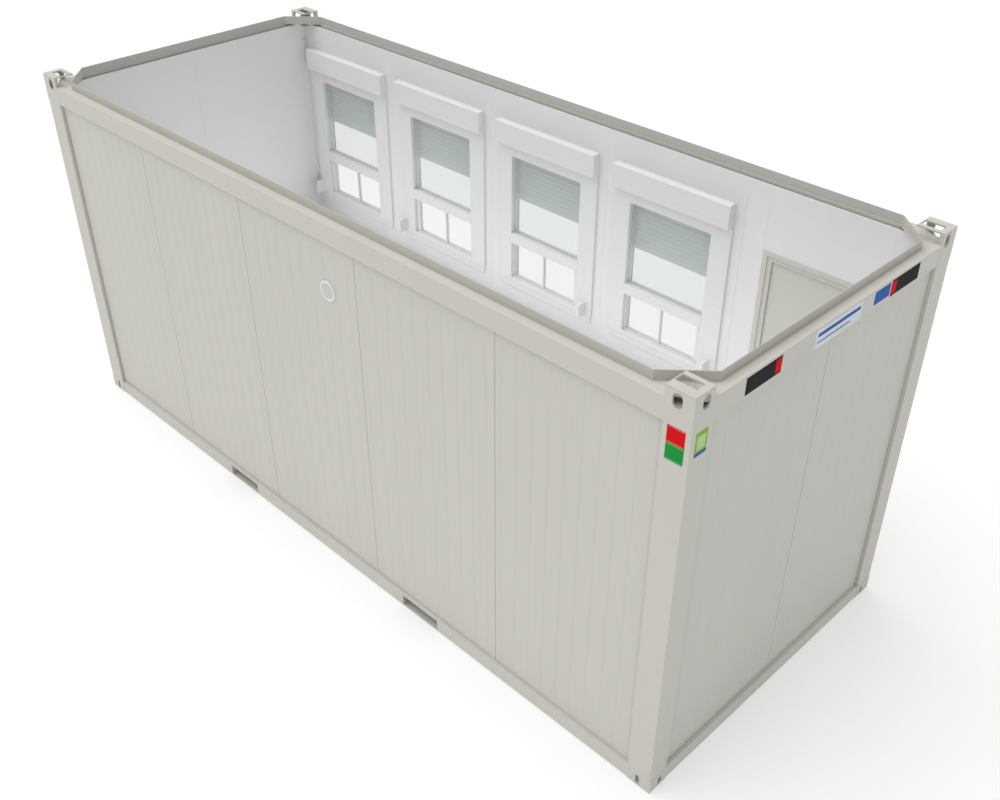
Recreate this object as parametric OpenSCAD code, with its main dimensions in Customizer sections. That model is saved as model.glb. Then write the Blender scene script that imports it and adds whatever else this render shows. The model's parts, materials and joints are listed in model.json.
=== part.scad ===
// Site cabin on a container frame, open at the top, as an assembly of its real pieces.
// Origin: middle of the footprint at ground level. X along the length, Y across, Z up.
// The vent wall is at -Y, the window and door wall at +Y, the signed end at +X.

/* [Overall] */
// Length over the corner castings
length = 6055; // [5900:5:6200]
// Width over the corner castings
width = 2435; // [2400:5:2500]
// Height over the corner castings
height = 2800; // [2700:5:2900]
// Set-back of posts and rails behind the castings
set_back = 1.5; // [1:0.5:4]
// Depth of the wall skins behind the castings
skin_back = 25; // [20:1:40]

/* [Corner frame] */
// Visible width of a post on the long side
post_long = 170; // [150:5:200]
// Visible width of a post on the end
post_end = 155; // [140:5:180]
// Length of a top casting along X
cast_x = 171; // [165:1:178]
// Length of a top casting along Y
cast_y = 151; // [145:1:162]
// Sheet thickness of posts and rails
sheet = 4; // [3:0.5:6]
// Plate thickness of a casting
cast_t = 12; // [10:1:16]
// Length of the casting legs
leg = 28; // [20:1:40]
// Casting hole length along X
aper_x = 124; // [120:1:128]
// Casting hole width along Y
aper_y = 63.5; // [60:0.5:66]

/* [Rails] */
// Top of the bottom rails
sill_top = 107; // [95:1:120]
// Underside of the bottom rails above the ground
sill_low = 6; // [2:1:12]
// Underside of the top rails
head_low = 2595; // [2560:5:2620]
// Flat top of the top rails
head_top = 2728; // [2700:2:2740]
// Width of the flat top on the long sides
flat_long = 65.5; // [50:0.5:80]
// Width of the flat top on the ends
flat_end = 61.5; // [50:0.5:80]
// Top of the folded edge round the opening
curb_top = 2787; // [2760:1:2796]
// Thickness of the folded edge
curb_t = 5; // [3:1:8]
// Corner cut of the folded edge along X
cut_x = 231; // [150:1:300]
// Corner cut of the folded edge along Y
cut_y = 212; // [150:1:300]

/* [Lifting] */
// Distance of each fork pocket from the middle
pocket_x = 1027.5; // [900:0.5:1100]
// Clear width of a fork pocket
pocket_w = 344; // [300:1:380]
// Clear height of a fork pocket
pocket_h = 85; // [75:1:90]

/* [Walls] */
// Wall thickness
wall_t = 72.5; // [60:0.5:110]
// Pitch of the panels on the plain long wall
panel_pitch = 1165; // [1150:1:1180]
// Shift of the middle panel along the wall
panel_shift = -12.5; // [-30:0.5:30]
// Gap between panels
joint = 3; // [2:1:6]
// Floor level
floor_z = 165; // [150:1:180]
// Top of the inner lining
lining_top = 2705; // [2650:1:2720]

/* [Windows] */
// Middle of the first window
win_x0 = -2372; // [-2380:1:-2340]
// Pitch of the windows
win_pitch = 1164; // [1120:1:1170]
// Half width of the clear opening
win_half = 348; // [300:1:370]
// Bottom of the clear opening
win_low = 1200; // [1180:1:1300]
// Top of the clear opening
win_top = 2237; // [2100:1:2260]
// Underside of the transom
bar_low = 1511; // [1400:1:1560]
// Top of the transom
bar_top = 1594; // [1570:1:1700]
// Middle of the casing beside the middle of the window
case_mid = 5; // [0:1:10]
// Half width of the inner casing
case_half = 502; // [450:1:510]
// Inner casing thickness
case_t = 18; // [10:1:30]
// Bottom of the inner casing
case_low = 1173; // [1100:1:1200]
// Middle of the shutter box beside the middle of the window
box_mid = 7; // [0:1:10]
// Half width of a shutter box
box_half = 495; // [450:1:510]
// Underside of a shutter box
box_low = 2330; // [2300:1:2400]
// Top of a shutter box
box_top = 2505; // [2450:1:2560]
// Depth of a shutter box
box_d = 62; // [50:1:120]
// Lower edge of the shutter slats
slat_low = 1862; // [1700:1:2200]

/* [Door] */
// Left edge of the door frame
door_x = 1870; // [1800:1:1900]
// Width over the door frame
door_w = 875; // [800:1:950]
// Top of the door frame
door_top = 2267; // [2200:1:2300]
// Face width of the door frame
door_f = 35; // [25:1:50]

/* [Vent] */
// Vent position along the wall
vent_x = 295; // [200:1:400]
// Vent height
vent_z = 2250; // [2100:1:2300]
// Inside radius of the vent sleeve
vent_r = 50; // [40:1:60]

/* [Hidden] */
$fn = 48;
hx = length/2;
hy = width/2;
fx = hx - set_back;            // outer faces of the frame
fy = hy - set_back;
wx = hx - skin_back;           // outer faces of the walls
wy = hy - skin_back;
ix = wx - wall_t;              // inner faces of the walls
iy = wy - wall_t;
bx = fx - flat_end;            // outside of the folded edge
by = fy - flat_long + 1.5;
post_low = sill_top;
zc = head_low;                 // underside of the top castings
px_in = hx - post_long;        // inner edge of a post, long side
py_in = hy - post_end;
cx_in = hx - cast_x;
cy_in = hy - cast_y;
e = 0.5;
beige = [0.76, 0.75, 0.71];
white = [0.86, 0.86, 0.86];
quads = [[1, 1], [-1, 1], [-1, -1], [1, -1]];
wins = [for (i = [0:3]) win_x0 + i*win_pitch];
rough = 400;                   // half width of the hole in the wall
rough_low = 1150;
rough_top = 2290;
panel_gap = joint/2;

module at_corner(q) { scale([q[0], q[1], 1]) children(); }
module slab(x0, x1, y0, y1, z0, z1) { translate([x0, y0, z0]) cube([x1 - x0, y1 - y0, z1 - z0]); }

// Upright slot with round ends, cut along Y or X
module slot_y(x, z, w, h, y0, y1) {
  translate([x, y0, z]) rotate([-90, 0, 0]) {
    translate([0, (h - w)/2, 0]) cylinder(r = w/2, h = y1 - y0);
    translate([0, -(h - w)/2, 0]) cylinder(r = w/2, h = y1 - y0);
  }
  slab(x - w/2, x + w/2, y0, y1, z - (h - w)/2, z + (h - w)/2);
}
module slot_x(y, z, w, h, x0, x1) {
  translate([x0, y, z]) rotate([0, 90, 0]) {
    translate([(h - w)/2, 0, 0]) cylinder(r = w/2, h = x1 - x0);
    translate([-(h - w)/2, 0, 0]) cylinder(r = w/2, h = x1 - x0);
  }
  slab(x0, x1, y - w/2, y + w/2, z - (h - w)/2, z + (h - w)/2);
}

// Folded hollow corner post, drawn for the +X +Y corner
module post(q) {
  t = sheet;
  color(beige) at_corner(q) translate([0, 0, post_low]) linear_extrude(height = zc - post_low)
    difference() {
      polygon([[px_in, fy], [fx, fy], [fx, py_in], [wx, py_in], [wx, iy], [ix, iy], [ix, wy], [px_in, wy]]);
      polygon([[px_in + t, fy - t], [fx - t, fy - t], [fx - t, py_in + t], [wx + t, py_in + t],
               [wx + t, iy + t], [ix + t, iy + t], [ix + t, wy + t], [px_in + t, wy + t]]);
    }
}

// Top casting: two outer plates with upright slots, a cap plate with the lifting hole, and edge legs
module top_casting() {
  t = cast_t;
  cap = 10;
  ax = hx - 101.5;
  ay = hy - 89;
  difference() {
    union() {
      // outer plates
      slab(cx_in, hx, hy - t, hy, zc, height - cap);
      slab(hx - t, hx, cy_in, hy, zc, height - cap);
      // legs at the free edges
      slab(cx_in, cx_in + t, hy - leg, hy, zc, height - cap);
      slab(hx - leg, hx, cy_in, cy_in + t, zc, height - cap);
      // cap plate
      slab(cx_in, hx, cy_in, hy, height - cap, height);
      // foot plate on the post
      translate([0, 0, zc]) linear_extrude(height = 8)
        polygon([[cx_in, hy], [hx, hy], [hx, cy_in], [wx, cy_in], [wx, wy], [cx_in, wy]]);
    }
    slab(ax - aper_x/2, ax + aper_x/2, ay - aper_y/2, ay + aper_y/2, height - cap - 1, height + 1);
    slot_y(hx - 97.5, 2737.5, 58, 84, hy - t - 1, hy + 1);
    slot_x(hy - 92, 2737.5, 58, 84, hx - t - 1, hx + 1);
    // shadow groove under the cap
    slab(cx_in - 1, hx + 1, hy - 1, hy + 1, height - cap - 1.5, height - cap);
    slab(hx - 1, hx + 1, cy_in - 1, hy + 1, height - cap - 1.5, height - cap);
  }
}
module top_castings() { color(beige) for (q = quads) at_corner(q) top_casting(); }

// Bottom casting: hollow block open underneath, with small upright slots
module bottom_casting() {
  t = cast_t;
  x0 = hx - 166.5;
  y0 = py_in;
  ax = hx - 101.5;
  ay = hy - 89;
  difference() {
    slab(x0, hx, y0, hy, 0, sill_top);
    slab(x0 + t, hx - t, y0 + t, hy - t, t, sill_top - t);
    slab(ax - aper_x/2 + 8, ax + aper_x/2 - 8, ay - aper_y/2, ay + aper_y/2, -1, t + 1);
    slot_y(hx - 91.5, 46, 32, 76, hy - t - 1, hy + 1);
    slot_x(hy - 96, 38, 32, 58, hx - t - 1, hx + 1);
  }
}
module bottom_castings() { color(beige) for (q = quads) at_corner(q) bottom_casting(); }

// Bottom side rail: channel open to the inside, cut for the fork pockets
module bottom_side_rail() {
  t = sheet;
  x1 = hx - 166.5;
  difference() {
    slab(-x1, x1, iy - 2, fy, sill_low, sill_top);
    slab(-x1 - 1, x1 + 1, iy - 3, fy - t, sill_low + t, sill_top - t);
    for (s = [-1, 1]) slab(s*pocket_x - pocket_w/2 - t, s*pocket_x + pocket_w/2 + t, iy - 3, fy + 1,
                           sill_low - 1, sill_low + pocket_h + 2*t);
  }
}
module bottom_side_rails() { color(beige) for (s = [1, -1]) scale([1, s, 1]) bottom_side_rail(); }

module bottom_end_rail() {
  t = sheet;
  difference() {
    slab(ix - 2, fx, -py_in, py_in, sill_low, sill_top);
    slab(ix - 3, fx - t, -py_in - 1, py_in + 1, sill_low + t, sill_top - t);
  }
}
module bottom_end_rails() { color(beige) for (s = [1, -1]) scale([s, 1, 1]) bottom_end_rail(); }

// Two tubes that run from side to side
module fork_pockets() {
  t = sheet;
  color(beige) for (s = [-1, 1]) difference() {
    slab(s*pocket_x - pocket_w/2 - t, s*pocket_x + pocket_w/2 + t, -fy, fy, sill_low, sill_low + pocket_h + 2*t);
    slab(s*pocket_x - pocket_w/2, s*pocket_x + pocket_w/2, -fy - 1, fy + 1, sill_low + t, sill_low + t + pocket_h);
  }
}

joists = [for (i = [1:3]) for (s = [-1, 1]) s*(i == 1 ? 390 : i == 2 ? 760 : 1290)];
joists_out = [for (i = [0:2]) for (s = [-1, 1]) s*(1700 + i*410)];
module joist(x) {
  difference() {
    slab(x - 30, x + 30, -iy + 2, iy - 2, 27, sill_top);
    slab(x - 27, x + 27, -iy + 1, iy - 1, 30, sill_top - 3);
  }
}
module floor_joists() {
  color([0.6, 0.6, 0.58]) { joist(0); for (x = joists) joist(x); for (x = joists_out) joist(x); }
}
module floor_deck() { color([0.55, 0.56, 0.57]) slab(-ix, ix, -iy, iy, sill_top, floor_z); }

// Top side rail: closed folded section
module top_side_rail() {
  t = sheet;
  yb = by - curb_t - 3;
  xe = bx - cut_x - 6;
  union() {
    difference() {
      slab(-cx_in, cx_in, yb, fy, head_low, head_top);
      slab(-cx_in - 1, cx_in + 1, yb + t, fy - t, head_low + t, head_top - t);
      for (s = [-1, 1]) slab(s > 0 ? xe : -cx_in - 1, s > 0 ? cx_in + 1 : -xe, yb - 1, yb + t + 1, head_low + t, head_top - t);
    }
    // lip over the lining
    slab(-xe, xe, iy + 10, yb, head_low, head_low + t);
  }
}
module top_side_rails() { color(beige) for (s = [1, -1]) scale([1, s, 1]) top_side_rail(); }

module top_end_rail() {
  t = sheet;
  xb = bx - curb_t - 3;
  ye = by - cut_y - 6;
  union() {
    difference() {
      slab(xb, fx, -cy_in, cy_in, head_low, head_top);
      slab(xb + t, fx - t, -cy_in - 1, cy_in + 1, head_low + t, head_top - t);
      for (s = [-1, 1]) slab(xb - 1, xb + t + 1, s > 0 ? ye : -cy_in - 1, s > 0 ? cy_in + 1 : -ye, head_low + t, head_top - t);
    }
    slab(ix + 10, xb, -ye, ye, head_low, head_low + t);
  }
}
module top_end_rails() { color(beige) for (s = [1, -1]) scale([s, 1, 1]) top_end_rail(); }

// Flat plates that close each corner between the rails and the casting
module corner_gusset() {
  xb = bx - curb_t - 3;
  yb = by - curb_t - 3;
  translate([0, 0, head_top - 6]) linear_extrude(height = 6)
    polygon([[bx - cut_x - 6, yb], [cx_in, yb], [cx_in, hy - leg], [cx_in + cast_t, hy - leg],
             [hx - cast_t, cy_in + 45], [hx - cast_t, cy_in + cast_t], [hx - leg, cy_in + cast_t],
             [hx - leg, cy_in], [xb, cy_in], [xb, by - cut_y - 6]]);
}
module corner_gussets() { color(beige) for (q = quads) at_corner(q) corner_gusset(); }

// Folded edge that stands round the roof opening, with cut corners
function ring(x, y, cx, cy) = [[x, y - cy], [x - cx, y], [-x + cx, y], [-x, y - cy],
                               [-x, -y + cy], [-x + cx, -y], [x - cx, -y], [x, -y + cy]];
module roof_edge() {
  color(beige) translate([0, 0, head_top]) linear_extrude(height = curb_top - head_top)
    difference() {
      polygon(ring(bx, by, cut_x, cut_y));
      polygon(ring(bx - curb_t, by - curb_t, cut_x - 2, cut_y - 2));
    }
}

// Lining strips above the panels, and a flat duct down the corner beside the first window
module inner_lining() {
  z0 = head_low;
  color(white) {
    difference() {
      slab(-ix - 10, ix + 10, -iy - 10, iy + 10, z0, lining_top);
      slab(-ix, ix, -iy, iy, z0 - 1, lining_top + 1);
    }
    slab(-ix, -ix + 12, iy - 42, iy, floor_z, 2566);
  }
}

// Plain long wall at -Y, five panels
module front_panel(i) {
  x0 = i == 1 ? -ix : panel_shift + (i - 3.5)*panel_pitch + panel_gap;
  x1 = i == 5 ? ix : panel_shift + (i - 2.5)*panel_pitch - panel_gap;
  color(beige) difference() {
    slab(x0, x1, -wy, -iy, sill_top, head_low);
    if (i == 3) translate([vent_x, -wy - 1, vent_z]) rotate([-90, 0, 0]) cylinder(r = vent_r + 5, h = wall_t + 2);
  }
}
// End walls, two panels each
module end_panels(s) {
  color(beige) scale([s, 1, 1]) {
    slab(ix, wx, -iy, -panel_gap, sill_top, head_low);
    slab(ix, wx, panel_gap, iy, sill_top, head_low);
  }
}
// Window wall at +Y
seam = [-ix, wins[0] + win_pitch/2, wins[1] + win_pitch/2, wins[2] + win_pitch/2, wins[3] + win_pitch/2, ix];
module window_panel(i) {
  color(beige) difference() {
    slab(seam[i - 1] + (i == 1 ? 0 : panel_gap), seam[i] - panel_gap, iy, wy, sill_top, head_low);
    slab(wins[i - 1] - rough, wins[i - 1] + rough, iy - 1, wy + 1, rough_low, rough_top);
  }
}
module door_side_panel() { color(beige) slab(seam[4] + panel_gap, door_x, iy, wy, sill_top, head_low); }
module door_corner_panel() { color(beige) slab(door_x + door_w, ix, iy, wy, sill_top, head_low); }
module door_head_panel() { color(beige) slab(door_x, door_x + door_w, iy, wy, door_top, head_low); }

// Door frame: flange, stop and threshold
frame_in = iy - 3;
frame_out = wy - 12.5;
stop_a = iy + 7;
stop_b = iy + 15;
leaf_a = iy + 20;
leaf_b = frame_out - 2;
leaf_x0 = door_x + door_f + 5;
leaf_x1 = door_x + door_w - door_f - 5;
leaf_z0 = 190;
leaf_z1 = door_top - door_f - 5;
pin_x = leaf_x1 + 7;
pin_y = frame_out + 7;
module door_frame() {
  x0 = door_x;
  x1 = door_x + door_w;
  color([0.74, 0.73, 0.69]) {
    difference() {
      union() {
        slab(x0, x1, iy, frame_out, sill_top, door_top);
        slab(x0, x1, frame_in, iy, floor_z, door_top);
      }
      slab(x0 + door_f, x1 - door_f, frame_in - 1, frame_out + 1, leaf_z0 - 5, door_top - door_f);
    }
    difference() {
      slab(x0 + door_f - e, x1 - door_f + e, stop_a, stop_b, leaf_z0 - 5 - e, door_top - door_f + e);
      slab(x0 + door_f + 34, x1 - door_f - 34, stop_a - 1, stop_b + 1, leaf_z0 + 12, door_top - door_f - 34);
    }
  }
}
hinge_z = [415, 1200, 1985];
module door_hinges() {
  color([0.7, 0.7, 0.7]) for (z = hinge_z) {
    translate([pin_x, pin_y, z - 42]) cylinder(r = 7, h = 41);
    translate([pin_x, pin_y, z - 42]) cylinder(r = 4, h = 82);
    slab(pin_x + 4.5, door_x + door_w - 3, frame_out, frame_out + 5, z - 42, z - 1);
  }
}
module door_leaf() {
  color([0.75, 0.74, 0.70]) difference() {
    slab(leaf_x0, leaf_x1, leaf_a, leaf_b, leaf_z0, leaf_z1);
    translate([leaf_x0 + 75, leaf_a - 1, 1215]) rotate([-90, 0, 0]) cylinder(r = 6, h = leaf_b - leaf_a + 2);
  }
}
module door_straps() {
  color([0.7, 0.7, 0.7]) for (z = hinge_z) difference() {
    union() {
      translate([pin_x, pin_y, z]) cylinder(r = 7, h = 41);
      slab(leaf_x1 - 48, pin_x - 4.5, leaf_b, leaf_b + 6, z, z + 41);
    }
    translate([pin_x, pin_y, z - 1]) cylinder(r = 4.05, h = 43);
  }
}
module door_handle() {
  x = leaf_x0 + 75;
  color([0.25, 0.25, 0.26]) {
    translate([x, leaf_a, 1215]) rotate([-90, 0, 0]) cylinder(r = 6, h = leaf_b - leaf_a);
    slab(x - 20, x + 20, leaf_b, leaf_b + 6, 1100, 1290);
    translate([x, leaf_b, 1215]) rotate([-90, 0, 0]) cylinder(r = 10, h = 30);
    slab(x - 10, x + 118, leaf_b + 22, leaf_b + 36, 1205, 1225);
    slab(x - 20, x + 20, leaf_a - 6, leaf_a, 1100, 1290);
    translate([x, leaf_a - 44, 1215]) rotate([-90, 0, 0]) cylinder(r = 10, h = 44);
    slab(x - 10, x + 118, leaf_a - 50, leaf_a - 36, 1205, 1225);
  }
}

// Windows, seen from inside: casing, frame with transom, sash with a thin bar and one stile, panes, shutter
cf = iy - case_t;              // inner face of the casings
frame_back = wy - 13.5;        // outer face of the window frames
sash_a = iy + 8;               // inner face of the sashes
sash_b = iy + 38;
glass_a = iy + 12;             // inner face of the panes
stile = 41;                    // wide stile on one side
rail = 11;                     // rails of the sash
bar = 10;                      // thin upright bar
bar_off = (stile - rail)/2 + 5;
function hand(i) = i < 2 ? 1 : -1;  // side of the bar, away from the stile
module window_casings() {
  color(white) for (x = wins) {
    difference() {
      slab(x + case_mid - case_half, x + case_mid + case_half, cf, iy, case_low, box_low);
      slab(x - win_half, x + win_half, cf - 1, iy + 1, win_low, win_top);
    }
    slab(x + case_mid - case_half + 9, x + case_mid + case_half - 9, iy - 9, iy, case_low - 61, case_low);
  }
}
module window_frame(i) {
  x = wins[i];
  h = hand(i);
  difference() {
    slab(x - rough, x + rough, iy, frame_back, rough_low, rough_top);
    slab(x - win_half, x + win_half, iy - 1, frame_back + 1, win_low, bar_low);
    slab(x - win_half, x + win_half, iy - 1, frame_back + 1, bar_top, win_top);
  }
  slab(x - win_half, x + win_half, cf, iy, bar_low, bar_top);
  // sash
  difference() {
    slab(x - win_half - e, x + win_half + e, sash_a, sash_b, win_low - e, bar_low + e);
    slab(x + (h > 0 ? -win_half + stile : -win_half + rail), x + h*bar_off - bar/2, sash_a - 1, sash_b + 1, win_low + rail, bar_low - rail);
    slab(x + h*bar_off + bar/2, x + (h > 0 ? win_half - rail : win_half - stile), sash_a - 1, sash_b + 1, win_low + rail, bar_low - rail);
  }
}
module window_frames() { color(white) for (i = [0:3]) window_frame(i); }
module window_panes() {
  color([0.85, 0.9, 0.9, 0.4]) for (i = [0:3]) {
    x = wins[i];
    h = hand(i);
    slab(x - win_half, x + win_half, glass_a, glass_a + 5, bar_top, win_top);
    slab(x + (h > 0 ? -win_half + stile : -win_half + rail), x + h*bar_off - bar/2, glass_a, glass_a + 5, win_low + rail, bar_low - rail);
    slab(x + h*bar_off + bar/2, x + (h > 0 ? win_half - rail : win_half - stile), glass_a, glass_a + 5, win_low + rail, bar_low - rail);
  }
}
module shutter_boxes() {
  color(white) for (x = wins) slab(x + box_mid - box_half, x + box_mid + box_half, iy - box_d, iy, box_low, box_top);
}
module shutter_slats() {
  color([0.62, 0.64, 0.64]) for (x = wins) slab(x - win_half - 14, x + win_half + 14, wy - 10.5, wy - 2.5, slat_low, rough_top);
}
module shutter_guides() {
  color(white) for (x = wins) for (s = [-1, 1]) difference() {
    slab(s > 0 ? x + win_half : x - rough, s > 0 ? x + rough : x - win_half, frame_back, wy, rough_low, rough_top);
    slab(s > 0 ? x + win_half - 1 : x - win_half - 15, s > 0 ? x + win_half + 15 : x - win_half + 1, wy - 11, wy - 2, rough_low - 1, rough_top + 1);
  }
}
// Winders for the shutter belts
module winder(x) {
  translate([x, 0, case_low + 3]) {
    slab(0, 16, cf - 58, cf, 0, 115);
    slab(0, 16, cf - 78, cf - 58, 20, 95);
    for (z = [20, 95]) translate([0, cf - 58, z]) rotate([0, 90, 0]) cylinder(r = 20, h = 16);
  }
}
module belt_winders() {
  color(white) {
    for (i = [0, 1]) winder(wins[i] - 472);
    for (i = [2, 3]) winder(wins[i] + 435);
  }
}

module vent_sleeve() {
  color(white) translate([vent_x, 0, vent_z]) rotate([90, 0, 0]) difference() {
    union() {
      translate([0, 0, iy]) cylinder(r = vent_r + 5, h = wall_t);
      translate([0, 0, wy]) cylinder(r = vent_r + 20, h = 5);
      translate([0, 0, iy - 4]) cylinder(r = vent_r + 20, h = 4);
    }
    translate([0, 0, iy - 5]) cylinder(r = vent_r, h = wall_t + 5);
  }
}
// Plain plates fixed to the signed end and to the near post
pt = set_back - 0.2;
module marking_plates() {
  color([0.2, 0.2, 0.2]) {
    slab(fx, fx + pt, -811, -562, 2614, 2714);
    slab(fx, fx + pt, 583, 832, 2614, 2714);
  }
  color([0.8, 0.1, 0.1]) {
    slab(fx, fx + pt, -562, -510, 2628, 2697);
    slab(fx, fx + pt, 530, 583, 2628, 2697);
    slab(2892, 2994, -fy - pt, -fy, 2494, 2592);
  }
  color([0.24, 0.37, 0.65]) slab(fx, fx + pt, 357, 517, 2628, 2709);
  color([0.85, 0.87, 0.9]) slab(fx, fx + pt, -211, 235, 2602, 2715);
  color([0.2, 0.55, 0.25]) slab(2892, 2994, -fy - pt, -fy, 2397, 2494);
  color([0.6, 0.8, 0.3]) slab(fx, fx + pt, -1179, -1087, 2442, 2582);
}

post([1, -1]);  // post_front_right
post([-1, -1]);  // post_front_left
post([-1, 1]);  // post_back_left
post([1, 1]);  // post_back_right
top_castings();
bottom_castings();
bottom_side_rails();
bottom_end_rails();
fork_pockets();
floor_joists();
floor_deck();
top_side_rails();
top_end_rails();
corner_gussets();
roof_edge();
inner_lining();
front_panel(1);  // front_panel_1
front_panel(2);  // front_panel_2
front_panel(3);  // front_panel_3
front_panel(4);  // front_panel_4
front_panel(5);  // front_panel_5
end_panels(-1);  // left_end_panels
end_panels(1);  // right_end_panels
window_panel(1);  // window_panel_1
window_panel(2);  // window_panel_2
window_panel(3);  // window_panel_3
window_panel(4);  // window_panel_4
door_side_panel();
door_corner_panel();
door_head_panel();
door_frame();
door_hinges();
door_leaf();
door_straps();
door_handle();
window_casings();
window_frames();
window_panes();
shutter_boxes();
shutter_slats();
shutter_guides();
belt_winders();
vent_sleeve();
marking_plates();
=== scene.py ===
import json
import math

import bmesh
import bpy
from mathutils import Matrix, Vector

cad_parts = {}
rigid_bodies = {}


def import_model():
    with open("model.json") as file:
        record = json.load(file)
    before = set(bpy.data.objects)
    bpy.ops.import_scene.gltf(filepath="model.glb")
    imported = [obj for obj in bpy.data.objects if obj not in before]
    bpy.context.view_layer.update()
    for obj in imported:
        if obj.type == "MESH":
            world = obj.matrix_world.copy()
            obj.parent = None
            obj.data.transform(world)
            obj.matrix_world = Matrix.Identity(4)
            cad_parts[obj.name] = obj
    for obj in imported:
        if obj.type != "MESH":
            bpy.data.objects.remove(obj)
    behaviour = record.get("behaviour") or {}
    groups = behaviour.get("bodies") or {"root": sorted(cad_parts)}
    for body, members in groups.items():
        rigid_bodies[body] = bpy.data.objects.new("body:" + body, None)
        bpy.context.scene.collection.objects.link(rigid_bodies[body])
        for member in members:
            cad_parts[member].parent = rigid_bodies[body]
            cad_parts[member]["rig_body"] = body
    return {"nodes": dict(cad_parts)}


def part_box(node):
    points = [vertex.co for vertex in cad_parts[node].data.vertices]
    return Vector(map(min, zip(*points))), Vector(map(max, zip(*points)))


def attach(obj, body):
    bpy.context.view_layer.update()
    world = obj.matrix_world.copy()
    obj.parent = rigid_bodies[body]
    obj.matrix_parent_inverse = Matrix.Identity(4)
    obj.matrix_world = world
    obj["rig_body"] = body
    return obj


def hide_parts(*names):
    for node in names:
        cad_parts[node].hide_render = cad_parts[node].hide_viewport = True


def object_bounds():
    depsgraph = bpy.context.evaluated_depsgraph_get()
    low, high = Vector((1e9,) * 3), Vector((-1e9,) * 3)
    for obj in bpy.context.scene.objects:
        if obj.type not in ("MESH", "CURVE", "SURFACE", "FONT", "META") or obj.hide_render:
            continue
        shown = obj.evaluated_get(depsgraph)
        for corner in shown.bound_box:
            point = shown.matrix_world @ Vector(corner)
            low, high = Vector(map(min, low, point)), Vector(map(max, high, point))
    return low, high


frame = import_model()
cad_bounds = [list(map(float, v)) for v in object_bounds()]
NODES = frame["nodes"]


def span(node):
    lo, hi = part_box(node)
    return lo, hi


# ---------------------------------------------------------------- places read from the frame
_, hi_cast = span("top_castings")
HX, HY, TOP = hi_cast
_, hi_rail = span("top_side_rails")
FY = hi_rail.y
FX = span("top_end_rails")[1].x
HEAD_LOW, HEAD_TOP = span("top_side_rails")[0].z, hi_rail.z
SILL_TOP = span("bottom_side_rails")[1].z
lo_fp, hi_fp = span("front_panel_1")
WY, IY = -lo_fp.y, -hi_fp.y
lo_ep, hi_ep = span("right_end_panels")
IX, WX = lo_ep.x, hi_ep.x
FLOOR_Z = span("floor_deck")[1].z


# ---------------------------------------------------------------- materials
def lin(c):
    return tuple(pow((v / 255.0 + 0.055) / 1.055, 2.4) if v > 10 else v / 3294.6 for v in c)


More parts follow.
